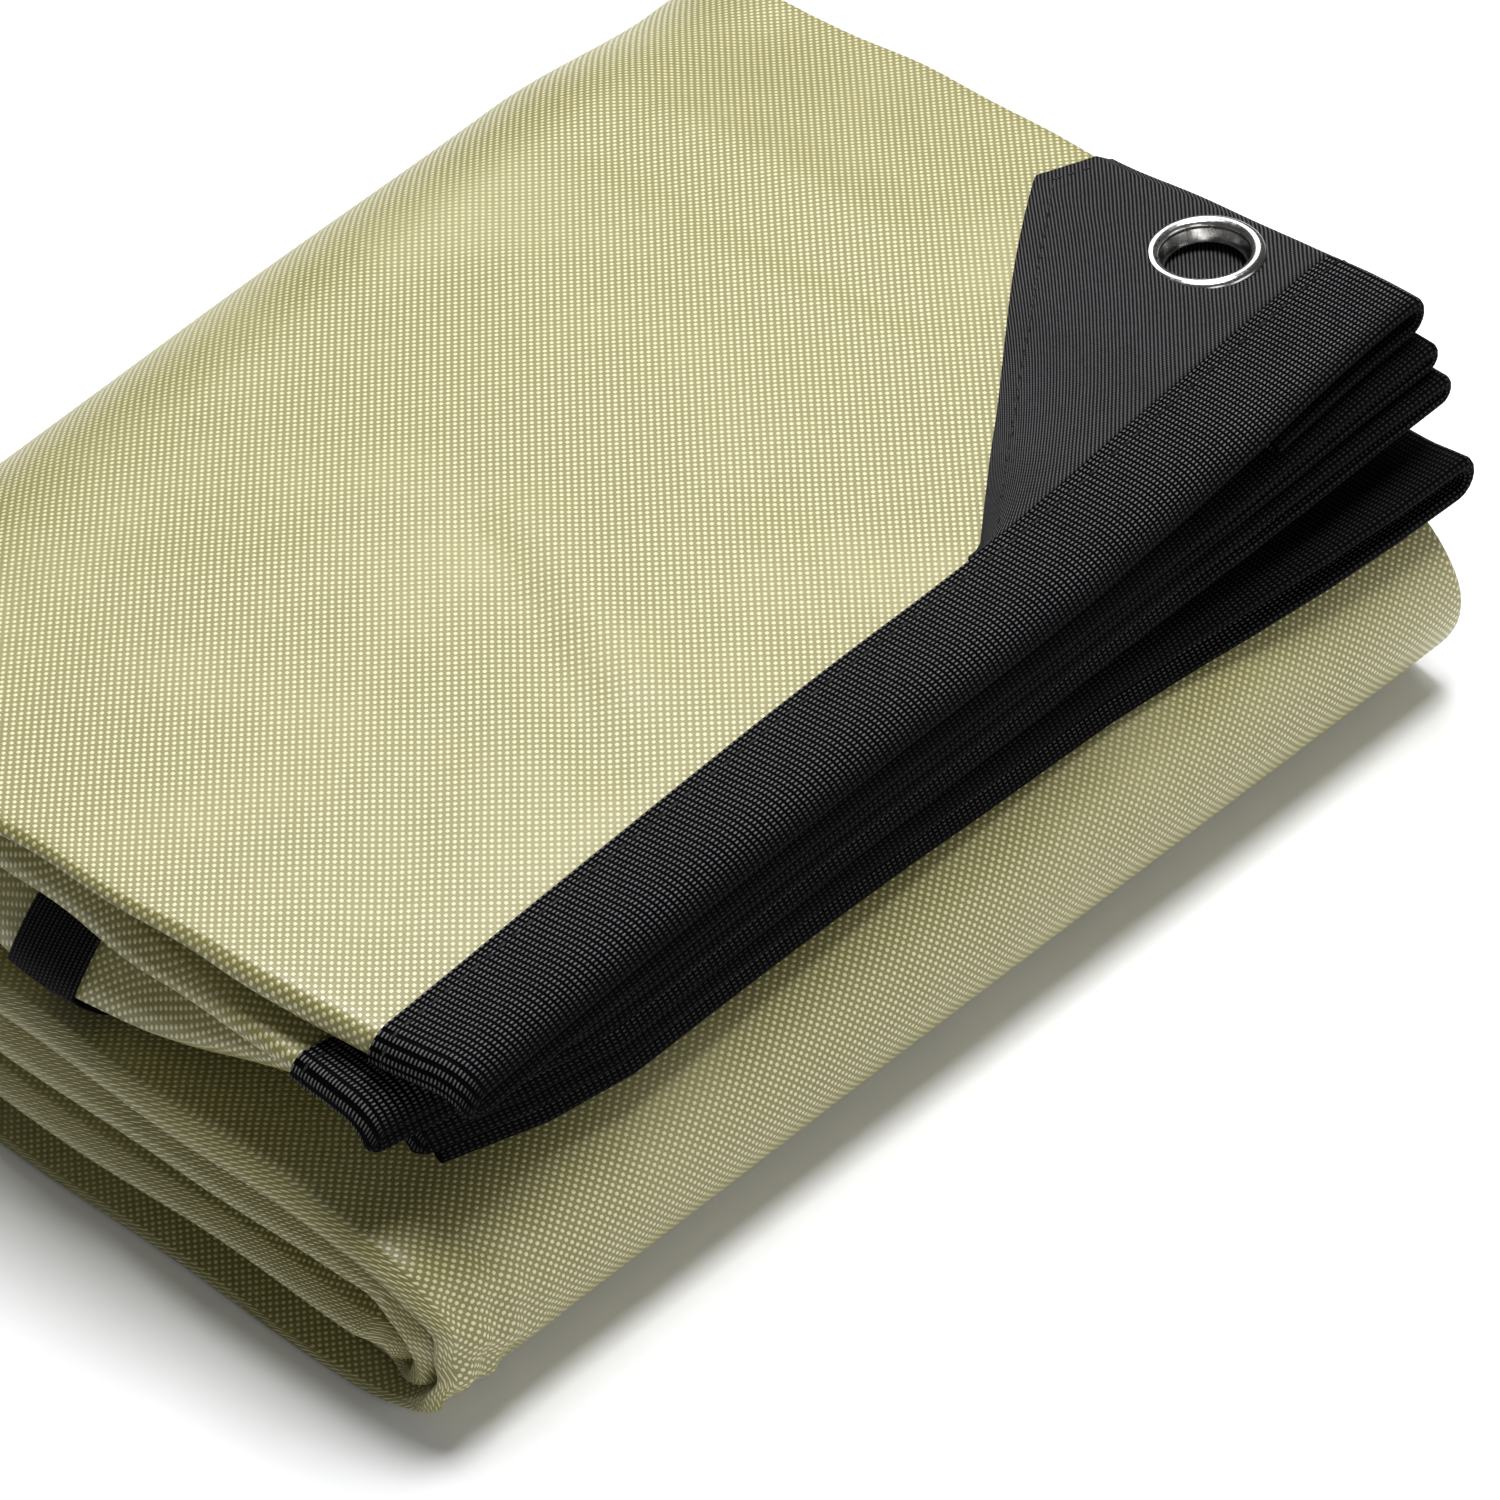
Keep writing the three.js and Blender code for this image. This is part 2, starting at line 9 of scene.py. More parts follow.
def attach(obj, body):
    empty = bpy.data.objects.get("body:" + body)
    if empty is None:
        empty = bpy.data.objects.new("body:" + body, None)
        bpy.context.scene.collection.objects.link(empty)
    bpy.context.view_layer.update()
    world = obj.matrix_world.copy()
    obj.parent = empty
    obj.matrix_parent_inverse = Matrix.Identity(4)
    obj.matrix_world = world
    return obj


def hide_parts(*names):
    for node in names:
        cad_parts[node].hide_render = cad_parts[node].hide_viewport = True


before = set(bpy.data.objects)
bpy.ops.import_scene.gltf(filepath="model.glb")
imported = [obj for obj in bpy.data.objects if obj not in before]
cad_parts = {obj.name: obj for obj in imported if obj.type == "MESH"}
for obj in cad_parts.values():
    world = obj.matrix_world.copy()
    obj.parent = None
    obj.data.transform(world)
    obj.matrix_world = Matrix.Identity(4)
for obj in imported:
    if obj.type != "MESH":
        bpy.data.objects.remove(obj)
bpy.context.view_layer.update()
bpy.ops.object.select_all(action="DESELECT")
print("frame loaded")

mm = 0.001
packShift = np.array([-166.44, -100.51, 0.0])  # pack frame to row frame

view = {
    "place": (-801.35, -768.38, 988.03),
    "azimuth": -48.3,
    "elevation": 41.5,
    "lens": 156,
    "sensor": 36,
}


def addCamera():
    azimuth, elevation = math.radians(view["azimuth"]), math.radians(view["elevation"])
    back = Vector((math.sin(azimuth) * math.cos(elevation),
                   -math.cos(azimuth) * math.cos(elevation), math.sin(elevation)))
    data = bpy.data.cameras.new("camera")
    data.lens, data.sensor_width = view["lens"], view["sensor"]
    data.clip_start, data.clip_end = 0.05, 50
    camera = bpy.data.objects.new("camera", data)
    bpy.context.collection.objects.link(camera)
    camera.location = Vector(view["place"]) * mm
    camera.rotation_euler = (-back).to_track_quat("-Z", "Y").to_euler()
    bpy.context.scene.camera = camera


addCamera()
print("camera placed")

# the folded form, in the same named sizes as the solids
form = {
    "packLength": 330,
    "backRollReach": 52,
    "frontFoldReach": 26,
    "flapLength": 54,
    "overshoot": 2,
    "leftCornerReach": 60,
    "rightCornerStart": 200,
    "rollStart": (157, 181),
    "noseStart": (2, -6),
    "floorHeight": 0.55,
    "heightShares": (0.5, 0.8, 1),
    "upperEnd": (1.9, 2.3),
    "curlWidth": 9,
    "curlDrop": 4.2,
    "curlBack": 2.2,
    "curlFade": (235, 315),
    "crease": 0.8,
    "creaseFrom": (0.35, 0.8),
    "wander": 0.6,
    "wanderFrom": (0.3, 0.8),
    "crumple": 0.8,
    "crumpleFade": (6, 38),
    "crumpleStart": (3.8, 4.1),
    "crumpleEnd": (4.7, 5),
}

# main creases of the upper third, listed as soft troughs and ridges
softFolds = {
    "fromX": [95, 60, 118, 150, 182, 246, 268, 205, 30, 40, 236, 290],
    "fromY": [22, 150, 34, 62, 44, 70, 96, 150, 26, 178, 128, 150],
    "toX":   [128, 96, 140, 205, 232, 252, 276, 214, 76, 120, 240, 286],
    "toY":   [92, 112, 86, 70, 30, 170, 168, 188, 52, 172, 60, 100],
    "width": [7, 10, 8, 12, 10, 5, 5, 9, 8, 8, 4, 7],
    "rise":  [-0.7, 0.6, 0.9, 0.5, -0.7, -0.5, 0.5, 0.6, -0.5, -0.6, 0.35, -0.4],
}

# height of the top ply and of the middle third's top ply, by distance from the front
topHeights = {
    "y":      [-17, 6, 40, 80, 120, 180],
    "left":   [86.8, 90.2, 94.6, 97, 97.3, 94.5],
    "middle": [93.5, 97, 99, 99.6, 98.8, 95],
    "late":   [96.7, 100, 100.5, 100, 98.2, 93],
    "right":  [98.4, 101.4, 100.4, 97.9, 93.9, 85],
}
middleHeights = {
    "y":      [-6, 24, 80, 170],
    "left":   [46, 49, 48.5, 48],
    "middle": [50, 52.5, 52, 49.5],
    "late":   [50, 52, 51, 48.5],
    "right":  [50, 51.5, 50, 47],
}

# one value for each ply: flap, first, second and so on to the seventh
plies = {
    "ply":         [0, 1, 2, 3, 4, 5, 6, 7],
    "frontLeft":   [-17, -17, -16, -3, -3, -3, -3, -3],
    "frontMiddle": [-16, -16, -15, -14.5, -14.5, -15.5, -15.5, -16],
    "frontRight":  [-10, -10, -14, -14, -17, -17, -26, -26],
    "shareFront":  [0.1, 0, 0.25, 0.4, 0.55, 0.7, 0.85, 1],
    "shareLobe":   [0.1, 0, 0.08, 0.2, 0.43, 0.49, 0.92, 1],
    "shareLower":  [0.1, 0, 0.192, 0.332, 0.529, 0.667, 0.862, 1],
    "shareInner":  [0.1, 0, 0.222, 0.267, 0.542, 0.735, 0.953, 1],
    "upperRight":  [0.148, 0, 0.25, 0.342, 0.435, 0.53, 0.82, 1],
    "lowerRight":  [0.15, 0, 0.29, 0.46, 0.59, 0.75, 0.86, 1],
}

# place 0 is the front edge, 2 to 3 the back roll, 4 to 5 the front fold and 6 the hidden end
stations = {
    "place":      [0, 0.28, 0.9, 1.4, 2, 2.5, 3, 3.55, 4, 4.5, 5, 5.3, 6],
    "stackLeft":  [27.2, 27.6, 46, 45, 36, 24, 10.6, 10.4, 10.4, 24, 33, 35.4, 35],
    "stackRight": [45, 45, 42, 38, 28, 24, 20, 21, 22, 22, 22, 22, 20],
    "lobe":       [0, 0, 1, 1, 0.6, 0, 0, 0, 0, 0, 0, 0, 0],
    "lower":      [0, 0, 0, 0, 0.4, 1, 1, 1, 1, 1, 1, 1, 1],
    "inner":      [0, 0, 0, 0, 0, 0, 0, 0, 0, 0.7, 1, 1, 1],
    "left1":      [15, 8, -1, -3, -4, -5, -4, -4, -3, -4, -6, -6, -5],
    "left2":      [0.5, 0, -1, -1, -1, 1, 6, 7, 4, -3, -5.5, -6, -4],
    "left3":      [12, 8, -3, -4, -2, 3, 8, 9, 6, 0, -5, -5.5, -4],
    "left4":      [18, 16, 10, 12, 10, 9, 12, 13, 11, 8, 6, 6, 6],
    "right1":     [328, 325, 325, 330, 337, 339, 336, 333, 327, 325, 322, 326, 331],
    "right2":     [329, 327, 326, 329, 334, 335, 333, 331, 325, 323, 322, 325, 330],
    "right3":     [331, 329, 327, 330, 333, 333, 331, 330, 323, 321, 320, 324, 329],
    "right4":     [330, 327, 324, 327, 330, 329, 328, 327, 320, 318, 318, 322, 327],
}
turnSides = ["right1", "left1", "right2", "left2", "right3", "left3", "right4"]


def mix(low, high, part):
    return low + (high - low) * part


def smooth(value, low, high):
    part = np.clip((value - low) / (high - low), 0, 1)
    return part * part * (3 - 2 * part)


def tableValue(table, key, column, value):
    # a smooth curve through a table's rows
    keys, rows = np.array(table[key], float), np.array(table[column], float)
    value = np.clip(value, keys[0], keys[-1])
    at = np.clip(np.searchsorted(keys, value, side="right") - 1, 0, len(keys) - 2)
    before, after = np.maximum(at - 1, 0), np.minimum(at + 2, len(keys) - 1)
    span = keys[at + 1] - keys[at]
    part = (value - keys[at]) / span
    startSlope = (rows[at + 1] - rows[before]) / (keys[at + 1] - keys[before]) * span
    endSlope = (rows[after] - rows[at]) / (keys[after] - keys[at]) * span
    squared, cubed = part ** 2, part ** 3
    return ((2 * cubed - 3 * squared + 1) * rows[at] + (cubed - 2 * squared + part) * startSlope
            + (3 * squared - 2 * cubed) * rows[at + 1] + (cubed - squared) * endSlope)


def station(column, place):
    return tableValue(stations, "place", column, place)


def plyValue(column, ply):
    return np.interp(ply, plies["ply"], plies[column])


def heightAt(table, x, y):
    middleX, lateX, endX = [form["packLength"] * share for share in form["heightShares"]]
    left, middle, late, right = [tableValue(table, "y", column, y)
                                 for column in ("left", "middle", "late", "right")]
    first = mix(left, middle, smooth(x, 0, middleX))
    second = mix(middle, late, smooth(x, middleX, lateX))
    third = mix(late, right, smooth(x, lateX, endX))
    return np.where(x < middleX, first, np.where(x < lateX, second, third))


def rollY(x):
    return mix(*form["rollStart"], x / form["packLength"])


def noseY(x):
    return mix(*form["noseStart"], x / form["packLength"])


def curled(ply, x, y, z, place):
    # the bound edge curls down, and the upper third has soft hollows and swells
    upper = 1 - smooth(place, *form["upperEnd"])
    near = np.clip((frontY(ply, x) + form["curlWidth"] - y) / form["curlWidth"], 0, 1) * (place <= 2)
    near = near * (1 - smooth(x, *form["curlFade"]))
    # and the front fold is crumpled at its left corner
    crumple = form["crumple"] * (1 - smooth(x, *form["crumpleFade"]))
    crumple = crumple * smooth(place, *form["crumpleStart"]) * (1 - smooth(place, *form["crumpleEnd"]))
    crumple = crumple * (np.sin(z * 0.5 + x * 0.33 + ply * 1.7) + np.sin(x * 0.62 - z * 0.21 + ply * 0.9))
    z = z - form["curlDrop"] * near ** 2 + relief(x, y) * upper
    return y + form["curlBack"] * near ** 3 + crumple, z


def relief(x, y):
    # height that the soft folds add
    height = 0 * x + 0 * y
    for fromX, fromY, toX, toY, width, rise in zip(*(softFolds[key] for key in softFolds)):
        alongX, alongY = toX - fromX, toY - fromY
        length = alongX ** 2 + alongY ** 2
        part = np.clip(((x - fromX) * alongX + (y - fromY) * alongY) / length, 0, 1)
        away = (x - fromX - part * alongX) ** 2 + (y - fromY - part * alongY) ** 2
        height = height + rise * np.exp(-away / width ** 2)
    return height


def frontY(ply, x):
    nearLeft = 1 - smooth(x, 0, form["leftCornerReach"])
    nearRight = smooth(x, form["rightCornerStart"], form["packLength"])
    middle = plyValue("frontMiddle", ply)
    return (middle + nearLeft * (plyValue("frontLeft", ply) - middle)
            + nearRight * (plyValue("frontRight", ply) - middle))


def plyDepth(ply, x, place):
    lower = station("lower", place)
    upperShare = mix(plyValue("shareFront", ply), plyValue("shareLobe", ply), station("lobe", place))
    lowerShare = mix(plyValue("shareLower", ply), plyValue("shareInner", ply), station("inner", place))
    left = mix(upperShare, lowerShare, lower) * station("stackLeft", place)
    rightShare = mix(plyValue("upperRight", ply), plyValue("lowerRight", ply), lower)
    return mix(left, rightShare * station("stackRight", place), smooth(x, 0, form["packLength"]))


def bend(start, end, angle):
    # height part of the way round a half-round bend
    return mix(start, end, (1 - np.cos(angle)) / 2)


def foldPoint(ply, x, place, depthAt):
    # point of the letter fold, given its depth under the outermost ply at any place
    roll, nose, base = rollY(x), noseY(x), form["floorHeight"]
    depth = depthAt(place)
    topY = mix(frontY(ply, x), roll, np.clip(place, None, 2) / 2)
    topZ = heightAt(topHeights, x, topY) - depth
    rollAngle, noseAngle = (place - 2) * math.pi, (place - 4) * math.pi
    rollReach = form["backRollReach"] - (depthAt(2.0) + depthAt(3.0)) / 2
    noseReach = form["frontFoldReach"] - (depthAt(4.0) + depthAt(5.0)) / 2
    farY = roll + rollReach * np.sin(rollAngle)
    farZ = bend(heightAt(topHeights, x, roll) - depthAt(2.0), base + depthAt(3.0), rollAngle)
    lowY = mix(roll, nose, place - 3)
    nearY = nose - noseReach * np.sin(noseAngle)
    nearZ = bend(base + depthAt(4.0), heightAt(middleHeights, x, nose) - depthAt(5.0), noseAngle)
    innerY = mix(nose, roll + form["overshoot"], place - 5)
    innerZ = heightAt(middleHeights, x, innerY) - depth
    where = [place <= 2, place <= 3, place <= 4, place <= 5]
    y = np.select(where, [topY, farY, lowY, nearY], innerY)
    z = np.select(where, [topZ, farZ, base + depth, nearZ], innerZ)
    y, z = curled(ply, x, y, z, place)
    return np.stack(np.broadcast_arrays(x, y, z), axis=-1)


def uneven(turn, place):
    # the folds wander a little along their length
    away = smooth(place, *form["wanderFrom"]) * form["wander"]
    return away * (np.sin(place * 5.3 + turn * 2.3) + 0.7 * np.sin(place * 13.1 + turn * 4.1))


def turnShape(turn, place):
    reach = station(turnSides[turn], place) + uneven(turn, place)
    start, end = plyDepth(turn, reach, place), plyDepth(turn + 1, reach, place)
    return reach, start, end, np.abs(end - start) / 2


def plyEnd(ply, left, place):
    # x at which a ply's flat run ends
    turn = ply if (ply % 2 == 1) == left else ply - 1
    if ply == 0 and left:
        return form["packLength"] - form["flapLength"] + 0 * place
    if ply == 7 and left:
        return tableValue(stations, "place", "left4", place)
    reach, _, _, bulge = turnShape(turn, place)
    return reach + bulge if left else reach - bulge


def plyPoint(ply, share, place):
    x = mix(plyEnd(ply, True, place), plyEnd(ply, False, place), share)
    return foldPoint(ply, x, place, lambda anyPlace: plyDepth(ply, x, anyPlace))


def turnPoint(turn, angle, place):
    reach, start, end, bulge = turnShape(turn, place)
    side = -1 if turnSides[turn].startswith("left") else 1
    # pressed to a crease at the left, round in its webbing and at the right
    pressed = smooth(place, *form["creaseFrom"]) * form["crease"] * (side < 0)
    x = reach + side * bulge * (mix(math.sin(angle), 1 - abs(math.cos(angle)), pressed) - 1)
    around = (1 - math.cos(angle)) / 2
    return foldPoint(turn + around, x, place, lambda anyPlace: mix(*turnShape(turn, anyPlace)[1:3], around))


def samplePoint(sample, place):
    kind, number, value = sample
    return plyPoint(number, value, place) if kind == "ply" else turnPoint(number, value, place)


def zigzag(plySteps, turnSteps):
    # samples across the pack, from the flap's edge to the seventh ply's free end
    samples = []
    for ply, steps in enumerate(plySteps):
        shares = np.linspace(0, 1, steps + 1)
        for share in (shares if ply % 2 == 0 else shares[::-1]):
            samples.append(("ply", ply, share))
        if ply < len(turnSides):
            samples += [("turn", ply, math.pi * step / turnSteps) for step in range(1, turnSteps)]
    return samples


def placeBehind(sample, distance):
    front, back = samplePoint(sample, np.array(0.0)), samplePoint(sample, np.array(2.0))
    return 2 * distance / (back[1] - front[1])


def faceNormals(points):
    # normals of the sheet's upper face at each point of a grid
    acrossPly = np.gradient(points, axis=0)
    alongFold = np.gradient(points, axis=1)
    normals = np.cross(alongFold, acrossPly)
    return normals / np.linalg.norm(normals, axis=-1, keepdims=True)


def runLengths(points, axis):
    steps = np.linalg.norm(np.diff(points, axis=axis), axis=-1)
    start = np.zeros_like(np.take(steps, [0], axis=axis))
    return np.cumsum(np.concatenate([start, steps], axis=axis), axis=axis)


def grainRuns(samples, places, points):
    # the cloth's own grain: true to x and y on the first ply, and unrolled from there
    anchor = next(index for index, (kind, number, share) in enumerate(samples)
                  if kind == "ply" and number == 1 and share <= 0.5)
    middleRow = int(np.argmin(np.abs(places - 1)))
    acrossPly, alongFold = runLengths(points, 0), runLengths(points, 1)
    acrossPly = points[anchor, :, 0] + acrossPly[anchor] - acrossPly
    alongFold += (points[:, middleRow, 1] - alongFold[:, middleRow])[:, None]
    return np.stack([acrossPly, alongFold], axis=-1)


def editMesh(*steps):
    bpy.ops.object.mode_set(mode="EDIT")
    bpy.ops.mesh.select_all(action="SELECT")
    for step in steps:
        step()
    bpy.ops.object.mode_set(mode="OBJECT")


def sheetObject(name, points, uv, thickness, keep=None):
    # a grid of points as a sheet of cloth with its own weave coordinates, all in metres
    columns, rows = points.shape[:2]
    corner = np.arange(columns * rows).reshape(columns, rows)
    quads = np.stack([corner[:-1, :-1], corner[:-1, 1:], corner[1:, 1:], corner[1:, :-1]], axis=-1)
    quads = quads.reshape(-1, 4)
    if keep is not None:
        quads = quads[keep(points.reshape(-1, 3)[quads].mean(axis=1))]
    mesh = bpy.data.meshes.new(name)
    mesh.from_pydata(((points + packShift) * mm).reshape(-1, 3).tolist(), [], quads.tolist())
    layer = mesh.uv_layers.new(name="weave")
    layer.data.foreach_set("uv", (uv.reshape(-1, 2)[quads] * mm).ravel())
    mesh.polygons.foreach_set("use_smooth", [True] * len(mesh.polygons))
    sheet = bpy.data.objects.new(name, mesh)
    bpy.context.collection.objects.link(sheet)
    bpy.ops.object.select_all(action="DESELECT")
    bpy.context.view_layer.objects.active = sheet
    sheet.select_set(True)
    editMesh(bpy.ops.mesh.delete_loose)
    solid = sheet.modifiers.new("thickness", "SOLIDIFY")
    solid.thickness, solid.offset = thickness * mm, 0
    solid.use_even_offset = False
    bpy.ops.object.modifier_apply(modifier=solid.name)
    sheet.select_set(False)
    return sheet


# Materials. Arithmetic on a Strand adds Math nodes to its material.
class Strand:
    def __init__(self, dye, socket):
        self.dye, self.socket = dye, socket

    def combine(self, operation, *others):
        return self.dye.maths(operation, self, *others)

    def __add__(self, other):
        return self.combine("ADD", other)

    def __sub__(self, other):
        return self.combine("SUBTRACT", other)

    def __rsub__(self, other):
        return self.dye.maths("SUBTRACT", other, self)

    def __mul__(self, other):
        return self.combine("MULTIPLY", other)

    def __truediv__(self, other):
        return self.combine("DIVIDE", other)

    __radd__, __rmul__ = __add__, __mul__


class Dye:
    def __init__(self, name):
        self.material = bpy.data.materials.new(name)
        self.material.use_nodes = True
        self.tree = self.material.node_tree
        self.tree.nodes.clear()

    def node(self, kind, settings, inputs, output=0):
        node = self.tree.nodes.new(kind)
        for key, value in settings.items():
            setattr(node, key, value)
        for key, value in inputs.items():
            socket = node.inputs[key]
            if isinstance(value, Strand):
                self.tree.links.new(value.socket, socket)
            else:
                socket.default_value = value
        return Strand(self, node.outputs[output]) if node.outputs else None

    def maths(self, operation, *values):
        return self.node("ShaderNodeMath", {"operation": operation}, dict(enumerate(values)))

    def blend(self, factor, first, second, kind="MIX"):
        # colours go through a Mix node, never through arithmetic
        return self.node("ShaderNodeMix", {"data_type": "RGBA", "blend_type": kind},
                         {0: factor, 6: first, 7: second}, output=2)

    def noise(self, place, scale, detail=3.0, roughness=0.5):
        return self.node("ShaderNodeTexNoise", {}, {"Vector": place, "Scale": scale, "Detail": detail,
                                                    "Roughness": roughness})

    def ramp(self, value, start, end):
        return self.node("ShaderNodeMapRange", {"interpolation_type": "SMOOTHSTEP"},
                         {"Value": value, "From Min": start, "From Max": end})

    def weaveRuns(self):
        # distance along and across the cloth's own grain, in millimetres
        uv = self.node("ShaderNodeUVMap", {"uv_map": "weave"}, {})
        return [self.node("ShaderNodeSeparateXYZ", {}, {0: uv}, output=axis) / mm for axis in (0, 1)]

    def finish(self, constants, varying):
        shader = self.node("ShaderNodeBsdfPrincipled", {}, {**constants, **varying})
        self.node("ShaderNodeOutputMaterial", {}, {"Surface": shader})
        return self.material


def setMaterial(piece, material):
    piece.data.materials.clear()
    piece.data.materials.append(material)


# The cloth's weave: a float where the threads cross, each second one a little lower; each float's pale colour
# is partly the weave's own pattern and partly a painted glint
clothLook = {
    "cellAlong": 1.11,
    "cellAcross": 1.06,
    "ground": (0.195, 0.178, 0.052, 1),
    # paler partly as a painted glint on each float
    "float": (0.585, 0.55, 0.29, 1),
    "worn": (0.40, 0.372, 0.19, 1),
    "roughness": 0.4,
    "coatRoughness": 0.36,
    "specular": 0.6,
    "relief": 0.2,
}


def clothMaterial():
    dye = Dye("cloth")
    place = dye.node("ShaderNodeTexCoord", {}, {}, output=3)
    broad = dye.noise(place, 16.0, 3.0)
    fine = dye.noise(place, 520.0, 2.0)
    wander = (dye.noise(place, 60.0, 2.0) - 0.5) * 0.35
    alongRun, acrossRun = dye.weaveRuns()
    warp = alongRun / clothLook["cellAlong"] + wander
    weft = acrossRun / clothLook["cellAcross"] + wander
    humps = dye.maths("SINE", warp * math.pi) * dye.maths("SINE", weft * math.pi)
    raised = dye.maths("ABSOLUTE", humps) * 0.55 + humps * 0.45
    floatsAndGlint = dye.ramp(raised + (fine - 0.5) * 0.3, 0.08, 0.55)
    # each float painted pale: the weave's pattern with a painted glint on it
    yarnAndSheen = dye.blend(floatsAndGlint, clothLook["ground"], clothLook["float"])
    colour = dye.blend(dye.ramp(broad, 0.38, 0.72) * 0.35, yarnAndSheen, clothLook["worn"])
    bump = dye.node("ShaderNodeBump", {}, {"Strength": 0.8, "Distance": clothLook["relief"] * mm,
                                           "Height": raised + fine * 0.25})
    roughness = clothLook["roughness"] + broad * 0.12 - floatsAndGlint * 0.06
    constants = {"Specular IOR Level": clothLook["specular"], "Coat Roughness": clothLook["coatRoughness"]}
    return dye.finish(constants,
                      {"Base Color": colour, "Coat Weight": floatsAndGlint, "Roughness": roughness, "Normal": bump})


webbingLook = {
    "ribPitch": 1.55,
    "dashPitch": 0.87,
    "stagger": 0.0,
    "ground": (0.0015, 0.0015, 0.0018, 1),
    "yarnAndSheen": (0.128, 0.127, 0.131, 1),
    "ribEdge": (0.1, 0.65),
    "dashes": 0.85,
    "shownFrom": 0.45,
    "shownTo": 1.0,
    # the next three values paint shade over the tape's rounded edge and underside
    "litSideTo": 18,
    "shadedFrom": 25,
    "shadedPart": 0.85,
    "roughness": 0.55,
    "specular": 0.015,
    "relief": 0.3,
}


def ribbedMaterial(name, look, turn=0.0):
    # ribs across the first run, each broken into short lengths by the threads of the second; the pale colour
    # on each rib is partly the webbing's own pattern and partly a painted highlight on the rib crests
    dye = Dye(name)
    place = dye.node("ShaderNodeTexCoord", {}, {}, output=3)
    fine = dye.noise(place, 700.0, 2.0)
    broad = dye.noise(place, 45.0, 2.0)
    alongRun, acrossRun = dye.weaveRuns()
    cosine, sine = math.cos(turn), math.sin(turn)
    ribRun = (alongRun * cosine + acrossRun * sine) / look["ribPitch"] + (broad - 0.5) * 0.5
    dashRun = (acrossRun * cosine - alongRun * sine) / look["dashPitch"]
    rib = dye.maths("SINE", ribRun * (2 * math.pi)) * 0.5 + 0.5
    stagger = dye.maths("FLOOR", ribRun + 0.25) * look["stagger"]
    dash = dye.maths("SINE", (dashRun + stagger) * (2 * math.pi)) * 0.5 + 0.5
    lit = dye.ramp(rib, *look["ribEdge"]) * (1 - look["dashes"] + dash * look["dashes"])
    shown = dye.ramp(lit * (0.7 + fine * 0.6), look["shownFrom"], look["shownTo"])
    if "litSideTo" in look:
        # painted shade: left as it is on its upper side, darkened from its rounded edge on and over its
        # underside, where less light falls
        shown = shown * (1 - dye.ramp(acrossRun, look["litSideTo"], look["shadedFrom"]) * look["shadedPart"])
    # pale rib colour: the rib pattern with a painted highlight on the crests
    colour = dye.blend(shown * (0.75 + broad * 0.5), look["ground"], look["yarnAndSheen"])
    bump = dye.node("ShaderNodeBump", {}, {"Strength": 0.8, "Distance": look["relief"] * mm,
                                           "Height": rib * 0.6 + lit * 0.5 + fine * 0.15})
    return dye.finish({"Specular IOR Level": look["specular"]},
                      {"Base Color": colour, "Roughness": look["roughness"] + fine * 0.2, "Normal": bump})


# The one coated sheet
cloth = {
    "thickness": 0.9,
    "plySteps": [8, 104, 14, 14, 14, 14, 14, 14],
    "turnSteps": 8,
    "placeRuns": [(0, 2, 72), (2, 3, 26), (3, 4, 12), (4, 5, 26), (5, 6, 16)],
    "holeRadius": 11.8,
}


def firstPlyShareAt(x, place):
    left, right = plyEnd(1, True, place), plyEnd(1, False, place)
    return (x - left) / (right - left)


def firstPlyPlace(x, y):
    return 2 * (y - frontY(1, x)) / (rollY(x) - frontY(1, x))


def firstPlyPoint(x, place):
    return plyPoint(1, firstPlyShareAt(x, place), place)


eyelet = {
    "x": 307,
    "y": 34,
    "rimRadius": 12.15,
    "rimHalfWidth": 1.8,
    "rimHalfHeight": 1.5,
    "rimHeight": 1.25,
    "lean": (0.04, -0.045, 0),
    "holeRadius": 9.2,
    "mouthRadius": 10.9,
    "barrelFrom": 1.9,
    "barrelTo": -2.4,
    "wall": 0.7,
    "lip": 0.2,
    "lipSteps": 3,
    "steps": 96,
    "rimSteps": 24,
    "tiltReach": 10,
    "tiltPlaces": 0.1,
}


def eyeletAxis():
    # where the eyelet sits on the first ply, and the ply's tilt there
    x, reach, step = eyelet["x"], eyelet["tiltReach"], eyelet["tiltPlaces"]
    place = firstPlyPlace(x, eyelet["y"])
    slope = firstPlyPoint(x + reach, place) - firstPlyPoint(x - reach, place)
    rise = firstPlyPoint(x, place + step) - firstPlyPoint(x, place - step)
    normal = np.cross(slope, rise)
    return firstPlyPoint(x, place), normal / np.linalg.norm(normal)


eyeletCentre, eyeletNormal = eyeletAxis()


def clearOfEyelet(radius, above=-3, below=3):
    def keep(centres):
        away = centres - eyeletCentre
        height = away @ eyeletNormal
        inPlane = np.linalg.norm(away - height[:, None] * eyeletNormal, axis=1)
        return ~((inPlane < radius) & (height > above) & (height < below))
    return keep


def clothSheet():
    samples = zigzag(cloth["plySteps"], cloth["turnSteps"])
    places = [0.0]
    for start, end, steps in cloth["placeRuns"]:
        places += list(np.linspace(start, end, steps + 1)[1:])
    places = np.array(places)
    points = np.array([samplePoint(sample, places) for sample in samples])
    return sheetObject("clothSheet", points, grainRuns(samples, places, points), cloth["thickness"],
                       clearOfEyelet(cloth["holeRadius"]))


clothPiece = clothSheet()
setMaterial(clothPiece, clothMaterial())
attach(clothPiece, "root")
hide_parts("tarp_cloth")
print("cloth folded")

# Webbing folded over the front edge of every ply
binding = {
    "width": 22,
    "lift": 1.36,
    "thickness": 1.0,
    "sideSteps": 8,
    "edgeSteps": 8,
    "lap": 1.6,
}


